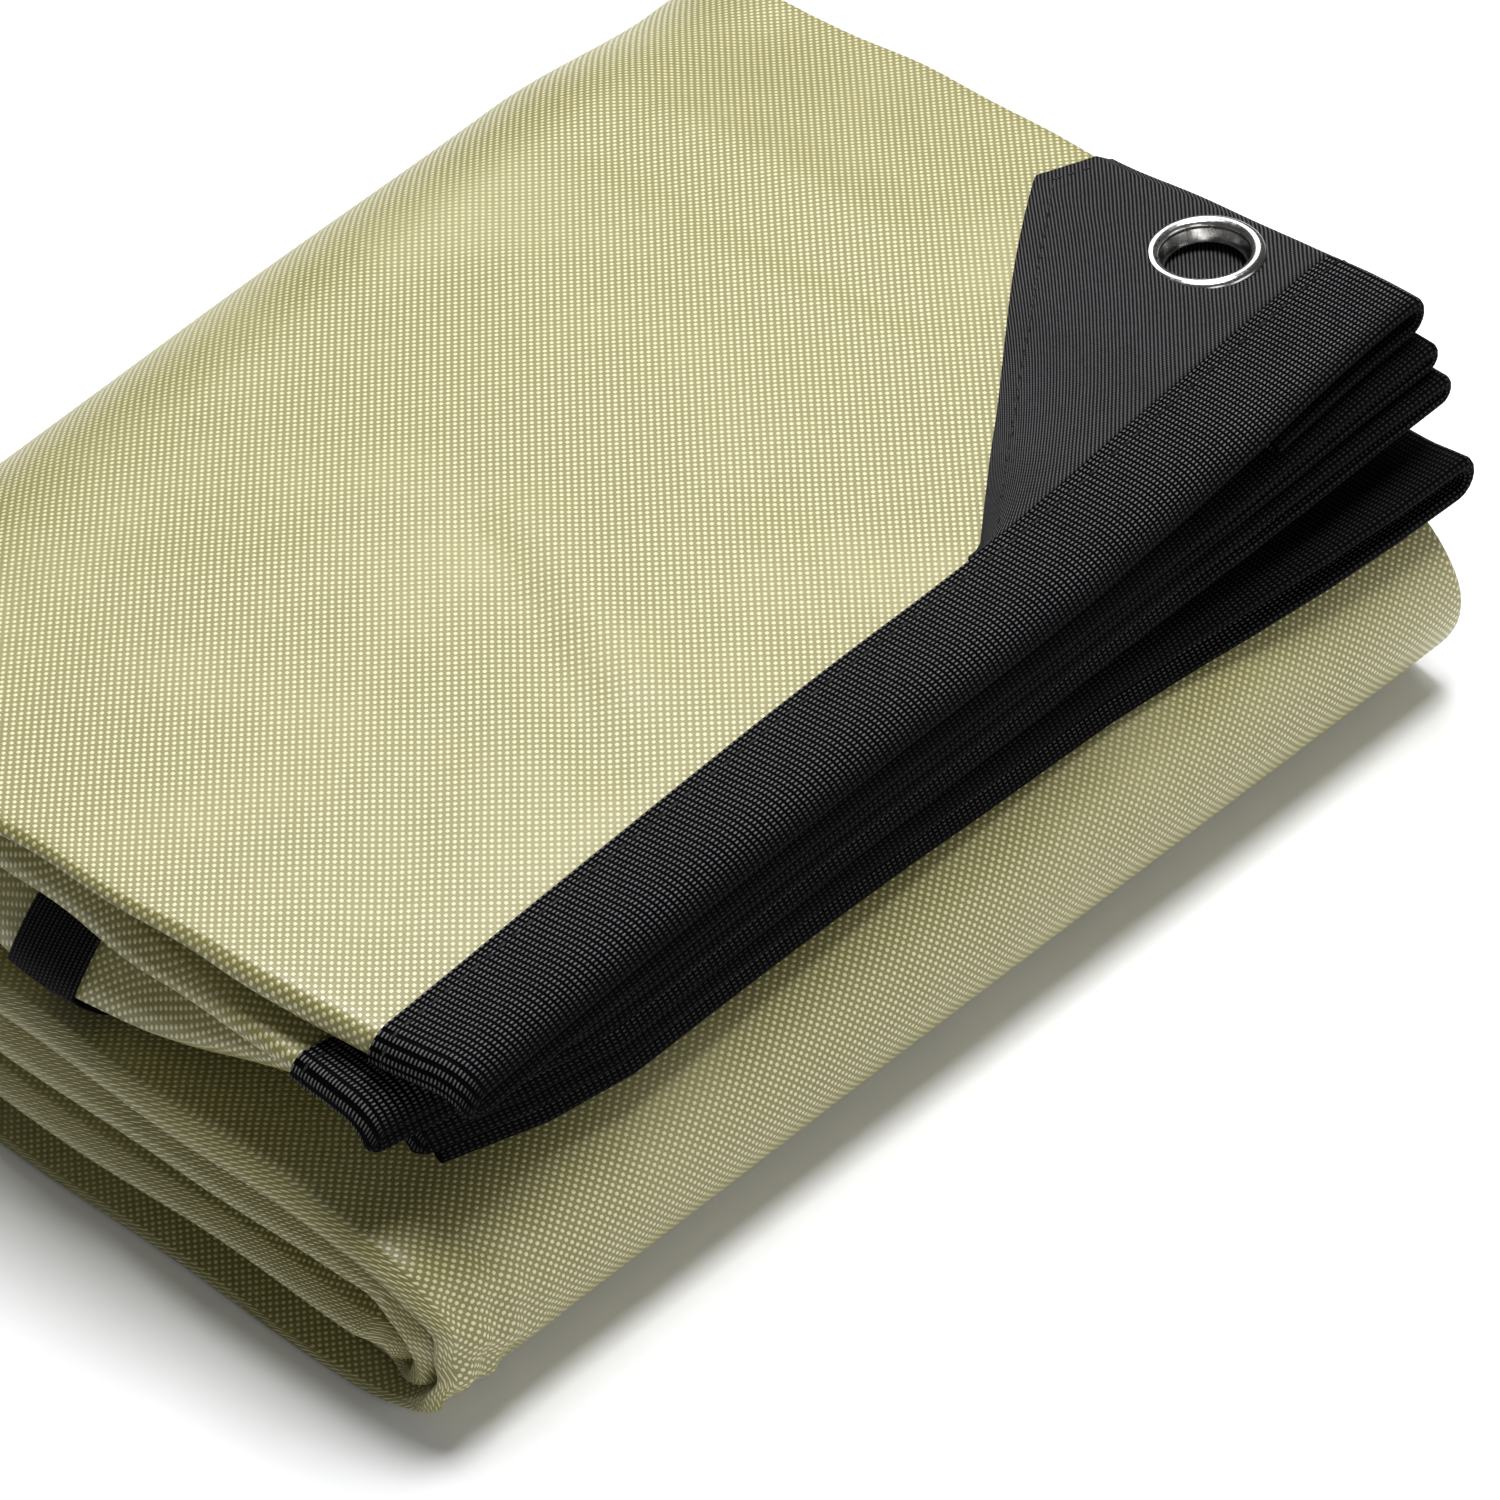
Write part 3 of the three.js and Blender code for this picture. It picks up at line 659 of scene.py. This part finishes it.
def bindingTrough(lift, width):
    # rows of points from the upper side, round the sheet's edge and back on its underside
    samples = zigzag(cloth["plySteps"], cloth["turnSteps"])
    shares = np.linspace(1, 0, binding["sideSteps"] + 1)
    sides = np.array([samplePoint(sample, shares * placeBehind(sample, width)) for sample in samples])
    normals = -faceNormals(sides)
    edge, edgeNormal = sides[:, -1], normals[:, -1]
    outward = edge - sides[:, -2]
    outward -= np.sum(outward * edgeNormal, axis=1, keepdims=True) * edgeNormal
    outward /= np.linalg.norm(outward, axis=1, keepdims=True)
    rows = [sides[:, i] + lift * normals[:, i] for i in range(sides.shape[1])]
    for step in range(1, binding["edgeSteps"]):
        angle = math.pi * step / binding["edgeSteps"]
        rows.append(edge + lift * (math.cos(angle) * edgeNormal + math.sin(angle) * outward))
    rows += [sides[:, i] - lift * normals[:, i] for i in range(sides.shape[1] - 1, -1, -1)]
    points = np.stack(rows, axis=1)
    start, end = points[0] - points[1], points[-1] - points[-2]
    start *= binding["lap"] / np.linalg.norm(start, axis=1, keepdims=True)
    end *= binding["lap"] / np.linalg.norm(end, axis=1, keepdims=True)
    return np.concatenate([points[:1] + start, points, points[-1:] + end])


def bindingPieceOf():
    points = bindingTrough(binding["lift"], binding["width"])
    middle = points.shape[1] // 2
    along = np.repeat(runLengths(points[:, middle:middle + 1], 0), points.shape[1], axis=1)
    uv = np.stack([along, runLengths(points, 1)], axis=-1)
    return sheetObject("bindingTape", points, uv, binding["thickness"])


bindingPiece = bindingPieceOf()
setMaterial(bindingPiece, ribbedMaterial("webbing", webbingLook))
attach(bindingPiece, "root")
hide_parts("edge_binding")
print("edge bound")

# Corner patch over the first ply, its right fold and the flap
patch = {
    "startX": 192,
    "tipX": 306.4,
    "tipY": 83.5,
    "foldY": 75,
    "startWidth": 0.5,
    "gap": 0.31,
    "thickness": 1.0,
    "flapSamples": 12,
    "turnSteps": 10,
    "foldSamples": 13,
    "plySteps": 46,
    "innerSamples": 15,
    "rows": 34,
    "edgePlace": 0.3,
    "holeRadius": 11.8,
    "slant": -49,
}

patchLook = {
    "ribPitch": 0.92,
    "dashPitch": 0.8,
    "stagger": 0.5,
    "ground": (0.0035, 0.0035, 0.004, 1),
    "yarnAndSheen": (0.074, 0.074, 0.076, 1),
    "ribEdge": (0, 1),
    "dashes": 0.45,
    "shownFrom": 0.2,
    "shownTo": 0.85,
    "roughness": 0.6,
    "specular": 0.05,
    "relief": 0.15,
}
patchLift = form["floorHeight"] + patch["gap"] + patch["thickness"] / 2
patchMaterial = ribbedMaterial("patch", patchLook, turn=math.radians(patch["slant"]))


def patchReach(sample, x):
    # how far back the patch runs, to its slanting edge or its cut-off tip
    if sample[0] == "turn" or sample[1] == 0:
        return patch["foldY"]
    bindingEdge = frontY(1, patch["startX"]) + binding["width"]
    if x < patch["tipX"]:
        return mix(bindingEdge, patch["tipY"], (x - patch["startX"]) / (patch["tipX"] - patch["startX"]))
    return mix(patch["tipY"], patch["foldY"], (x - patch["tipX"]) / (form["packLength"] - patch["tipX"]))


def patchGrid(samples, reachOf, lift):
    # a grid that follows the cloth at a lift above it, from the binding back to its own edge
    gap = binding["width"] + patch["gap"]
    columns, spots = [], np.linspace(0, 1, patch["rows"] + 1)
    for sample in samples:
        start = placeBehind(sample, gap)
        front, x = samplePoint(sample, np.array(0.0))[1], samplePoint(sample, start)[0]
        reach = max(reachOf(sample, x) - front, gap + patch["startWidth"])
        columns.append(samplePoint(sample, mix(start, start * reach / gap, spots)))
    points = np.array(columns)
    return points + lift * faceNormals(points)


def patchPieceOf():
    steps = patch["turnSteps"]
    samples = [("ply", 0, share) for share in np.linspace(0, 1, patch["flapSamples"])]
    samples += [("turn", 0, math.pi * step / steps) for step in range(1, steps)]
    first = len(samples)
    start, tip = [float(firstPlyShareAt(patch[key], patch["edgePlace"])) for key in ("startX", "tipX")]
    samples += [("ply", 1, share) for share in np.linspace(1, tip, patch["foldSamples"])]
    samples += [("ply", 1, share) for share in np.linspace(tip, start, patch["plySteps"] + 1)[1:]]
    points = patchGrid(samples, patchReach, patchLift)
    across = runLengths(points, 0)
    across = points[first, :, 0] + across[first] - across
    uv = np.stack([across, points[:, :, 1]], axis=-1)
    return sheetObject("cornerPatch", points, uv, patch["thickness"], clearOfEyelet(patch["holeRadius"]))


patchPiece = patchPieceOf()
setMaterial(patchPiece, patchMaterial)
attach(patchPiece, "root")
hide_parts("corner_patch")


def innerPatchPieceOf():
    samples = [("ply", 0, share) for share in np.linspace(0, 1, patch["innerSamples"])]
    points = patchGrid(samples, lambda sample, x: patch["foldY"], -patchLift)
    return sheetObject("innerPatch", points, points[:, :, :2], patch["thickness"])


innerPatchPiece = innerPatchPieceOf()
setMaterial(innerPatchPiece, patchMaterial)
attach(innerPatchPiece, "root")
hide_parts("corner_patch_under")
print("patches sewn on")

# Eyelet: a rolled rim with a barrel through the patch and the ply
nickelLook = {
    "bright": (0.62, 0.615, 0.60, 1),
    "dull": (0.30, 0.296, 0.29, 1),
    "scratch": (0.18, 0.178, 0.175, 1),
    "roughness": 0.16,
    "relief": 0.1,
}


def nickelMaterial():
    dye = Dye("nickel")
    place = dye.node("ShaderNodeTexCoord", {}, {}, output=3)
    broad = dye.noise(place, 90.0, 3.0)
    fine = dye.noise(place, 1500.0, 2.0)
    scratches = dye.ramp(dye.noise(place, 420.0, 4.0, 0.7), 0.52, 0.7)
    colour = dye.blend(dye.ramp(broad, 0.35, 0.65) * 0.8, nickelLook["bright"], nickelLook["dull"])
    colour = dye.blend(scratches * 0.35, colour, nickelLook["scratch"])
    bump = dye.node("ShaderNodeBump", {}, {"Strength": 0.35, "Distance": nickelLook["relief"] * mm,
                                           "Height": broad * 2.0 + fine * 0.15})
    roughness = nickelLook["roughness"] + scratches * 0.14 + fine * 0.08
    return dye.finish({"Metallic": 1.0}, {"Base Color": colour, "Roughness": roughness, "Normal": bump})


def eyeletPieceOf():
    bpy.ops.object.select_all(action="DESELECT")
    bpy.ops.mesh.primitive_torus_add(major_radius=eyelet["rimRadius"] * mm,
                                     minor_radius=eyelet["rimHalfWidth"] * mm,
                                     major_segments=eyelet["steps"], minor_segments=eyelet["rimSteps"])
    rim = bpy.context.object
    flat = eyelet["rimHalfHeight"] / eyelet["rimHalfWidth"]
    editMesh(lambda: bpy.ops.transform.resize(value=(1, 1, flat)),
             lambda: bpy.ops.transform.translate(value=(0, 0, eyelet["rimHeight"] * mm)))
    depth = eyelet["barrelFrom"] - eyelet["barrelTo"]
    bpy.ops.mesh.primitive_cone_add(vertices=eyelet["steps"], depth=depth * mm, end_fill_type="NOTHING",
                                    radius1=(eyelet["holeRadius"] + eyelet["wall"] / 2) * mm,
                                    radius2=(eyelet["mouthRadius"] + eyelet["wall"] / 2) * mm)
    barrel = bpy.context.object
    middle = (eyelet["barrelFrom"] + eyelet["barrelTo"]) / 2
    editMesh(lambda: bpy.ops.transform.translate(value=(0, 0, middle * mm)),
             lambda: bpy.ops.mesh.subdivide(number_cuts=2))
    wall = barrel.modifiers.new("wall", "SOLIDIFY")
    wall.thickness, wall.offset = eyelet["wall"] * mm, 0
    lip = barrel.modifiers.new("lip", "BEVEL")
    lip.width, lip.segments, lip.limit_method = eyelet["lip"] * mm, eyelet["lipSteps"], "ANGLE"
    for modifier in ("wall", "lip"):
        bpy.ops.object.modifier_apply(modifier=modifier)
    rim.select_set(True)
    bpy.context.view_layer.objects.active = rim
    bpy.ops.object.join()
    bpy.ops.object.shade_smooth()
    rim.name = "eyeletRing"
    axis = Vector(eyeletNormal) - Vector(eyelet["lean"])
    turn = Vector((0, 0, 1)).rotation_difference(axis).to_matrix().to_4x4()
    rim.data.transform(Matrix.Translation(Vector((eyeletCentre + packShift) * mm)) @ turn)
    rim.location = (0, 0, 0)
    rim.select_set(False)
    return rim


eyeletPiece = eyeletPieceOf()
setMaterial(eyeletPiece, nickelMaterial())
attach(eyeletPiece, "root")
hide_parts("eyelet")
print("eyelet set")

# Webbing band round the third left fold
band = {
    "turn": 5,
    "place": 1.0,
    "startY": 80,
    "width": 18,
    "tail": 11,
    "thickness": 1.0,
    "rows": 12,
    "tailSamples": 7,
    "turnSteps": 16,
}

bandLook = {
    "ribPitch": 1.05,
    "dashPitch": 0.7,
    "stagger": 0.5,
    "ground": (0.0012, 0.0012, 0.0014, 1),
    "yarnAndSheen": (0.04, 0.038, 0.042, 1),
    "ribEdge": (0, 1),
    "dashes": 0.6,
    "shownFrom": 0.3,
    "shownTo": 0.9,
    "roughness": 0.5,
    "specular": 0.05,
    "relief": 0.18,
}


def bandPieceOf():
    turn, place, steps = band["turn"], np.array(band["place"]), band["turnSteps"]
    samples = []
    for ply, order in ((turn, -1), (turn + 1, 1)):
        length = plyEnd(ply, False, place) - plyEnd(ply, True, place)
        tails = [("ply", ply, tail / length) for tail in np.linspace(0, band["tail"], band["tailSamples"])]
        samples += tails[::order]
        if ply == turn:
            samples += [("turn", turn, math.pi * step / steps) for step in range(1, steps)]
    columns, spots = [], np.linspace(0, band["width"], band["rows"] + 1)
    for sample in samples:
        front = samplePoint(sample, np.array(0.0))[1]
        perMillimetre = placeBehind(sample, 1.0)
        columns.append(samplePoint(sample, perMillimetre * (band["startY"] - front + spots)))
    points = np.array(columns)
    lift = form["floorHeight"] + patch["gap"] + band["thickness"] / 2
    points = points + lift * faceNormals(points)
    uv = np.stack([runLengths(points, 1), runLengths(points, 0)], axis=-1)
    return sheetObject("webbingBand", points, uv, band["thickness"])


bandPiece = bandPieceOf()
setMaterial(bandPiece, ribbedMaterial("band", bandLook))
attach(bandPiece, "root")
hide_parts("webbing_band")
print("band fitted")

# Lockstitch rows: one stitch is modelled and copied along each seam
stitch = {
    "length": 2.7,
    "width": 0.62,
    "height": 0.42,
    "pitch": 4.0,
    "proud": 0.04,
    "inset": 2.9,
    "around": (0.96, 1, 1.04),
    "patchInset": 4.6,
    "clearStart": 12,
    "clearEnd": 13,
    "lineSamples": 60,
}

threadLook = {
    "dark": (0.004, 0.004, 0.0045, 1),
    "lit": (0.03, 0.03, 0.031, 1),
    "relief": 0.08,
}


def threadMaterial():
    dye = Dye("thread")
    place = dye.node("ShaderNodeTexCoord", {}, {}, output=3)
    twist = dye.noise(place, 900.0, 2.0)
    colour = dye.blend(dye.ramp(twist, 0.35, 0.7), threadLook["dark"], threadLook["lit"])
    bump = dye.node("ShaderNodeBump", {}, {"Strength": 0.6, "Distance": threadLook["relief"] * mm,
                                           "Height": twist})
    return dye.finish({"Specular IOR Level": 0.15},
                      {"Base Color": colour, "Roughness": 0.5 + twist * 0.2, "Normal": bump})


def oneStitch():
    bpy.ops.object.select_all(action="DESELECT")
    bpy.ops.mesh.primitive_uv_sphere_add(segments=6, ring_count=4, radius=0.5)
    model = bpy.context.object
    size = (stitch["length"], stitch["width"], stitch["height"])
    editMesh(lambda: bpy.ops.transform.rotate(value=math.pi / 2, orient_axis="Y", center_override=(0, 0, 0)),
             lambda: bpy.ops.transform.resize(value=size))
    corners = np.array([tuple(vertex.co) for vertex in model.data.vertices])
    faces = [list(polygon.vertices) for polygon in model.data.polygons]
    bpy.data.objects.remove(model)
    return corners, faces


def alongRun(at, run, values):
    return np.array([np.interp(at, run, values[:, axis]) for axis in range(3)])


def stitchRow(lines):
    # each line is a run of points with the face's normals there
    corners, faces = oneStitch()
    points, polygons = [], []
    for spots, normals in lines:
        run = np.concatenate([[0], np.cumsum(np.linalg.norm(np.diff(spots, axis=0), axis=1))])
        for at in np.arange(stitch["pitch"] / 2, run[-1], stitch["pitch"]):
            before, middle, after = [alongRun(at + step, run, spots) for step in (-1, 0, 1)]
            up = alongRun(at, run, normals)
            along = after - before
            along /= np.linalg.norm(along)
            side = np.cross(up, along)
            side /= np.linalg.norm(side)
            up = np.cross(along, side)
            polygons += [[index + len(points) * len(corners) for index in face] for face in faces]
            points.append(middle + corners @ np.array([along, side, up]))
    mesh = bpy.data.meshes.new("stitches")
    mesh.from_pydata(((np.concatenate(points) + packShift) * mm).tolist(), [], polygons)
    mesh.polygons.foreach_set("use_smooth", [True] * len(mesh.polygons))
    row = bpy.data.objects.new("stitches", mesh)
    bpy.context.collection.objects.link(row)
    return row


def bindingSeams():
    # one seam near the binding's inner edge, seen on both of its sides
    samples = zigzag(cloth["plySteps"], cloth["turnSteps"])
    width = binding["width"] - stitch["inset"]
    strip = np.array([samplePoint(sample, placeBehind(sample, width) * np.array(stitch["around"]))
                      for sample in samples])
    normals = faceNormals(strip)[:, 1]
    lift = binding["lift"] + binding["thickness"] / 2 + stitch["proud"]
    return [(strip[:, 1] + side * lift * normals, side * normals) for side in (1, -1)]


def patchSeams():
    # along the patch's slanting edge, then from its tip to the fold
    slant = (patch["tipY"] - frontY(1, patch["startX"]) - binding["width"]) / (patch["tipX"] - patch["startX"])
    inset = stitch["patchInset"]
    lift = patchLift + patch["thickness"] / 2 + stitch["proud"]
    lines = []
    for startX, endX in ((patch["startX"] + stitch["clearStart"], patch["tipX"]),
                         (patch["tipX"], form["packLength"] - stitch["clearEnd"])):
        xs = np.linspace(startX, endX, stitch["lineSamples"])
        if startX == patch["tipX"]:
            ys = mix(patch["tipY"], patch["foldY"], (xs - startX) / (form["packLength"] - startX)) - inset
        else:
            ys = patch["tipY"] + slant * (xs - endX) - inset * math.hypot(1, slant)
        spots, ahead = [np.array([firstPlyPoint(x, firstPlyPlace(x, y + step)) for x, y in zip(xs, ys)])
                        for step in (0, 1)]
        normals = np.cross(np.gradient(spots, axis=0), ahead - spots)
        normals /= np.linalg.norm(normals, axis=1, keepdims=True)
        lines.append((spots + lift * normals, normals))
    return lines


stitches = stitchRow(bindingSeams() + patchSeams())
setMaterial(stitches, threadMaterial())
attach(stitches, "root")
print("seams stitched")

# pale floor and soft studio light
studio = {
    "floorSize": 24,
    "floorColour": (0.925, 0.93, 0.945, 1),
    "speckColour": (0.9, 0.9, 0.9, 1),
    "worldStrength": 0.11,
    "overhead": {"place": (0.2, 0.06, 1.5), "size": 0.8, "power": 29},
    "back": {"place": (1.05, 1.0, 1.25), "size": 1.1, "power": 12},
    "front": {"place": (0.5, -1.5, 0.28), "size": 1.2, "power": 7},
    "card": {"place": (-0.55, -1.1, 0.5), "size": 0.6, "power": 1.7},
}


def addStudio():
    bpy.ops.mesh.primitive_plane_add(size=studio["floorSize"], location=(0, 0, 0))
    floor = bpy.context.object
    floor.name = "floor"
    dye = Dye("floor")
    place = dye.node("ShaderNodeTexCoord", {}, {}, output=3)
    colour = dye.blend(dye.noise(place, 3.0) * 0.02, studio["floorColour"], studio["speckColour"])
    setMaterial(floor, dye.finish({"Roughness": 0.9, "Specular IOR Level": 0.1}, {"Base Color": colour}))
    world = bpy.data.worlds.new("studio")
    bpy.context.scene.world = world
    world.use_nodes = True
    background = world.node_tree.nodes["Background"]
    background.inputs["Color"].default_value = (1, 1, 1, 1)
    background.inputs["Strength"].default_value = studio["worldStrength"]
    for name in ("overhead", "back", "front", "card"):
        lamp = studio[name]
        data = bpy.data.lights.new(name, "AREA")
        data.shape, data.size, data.energy = "DISK", lamp["size"], lamp["power"]
        light = bpy.data.objects.new(name, data)
        light.location = lamp["place"]
        light.rotation_euler = (-Vector(lamp["place"])).to_track_quat("-Z", "Y").to_euler()
        bpy.context.collection.objects.link(light)
    bpy.context.scene.view_settings.view_transform = "Standard"


addStudio()
print("studio lit")
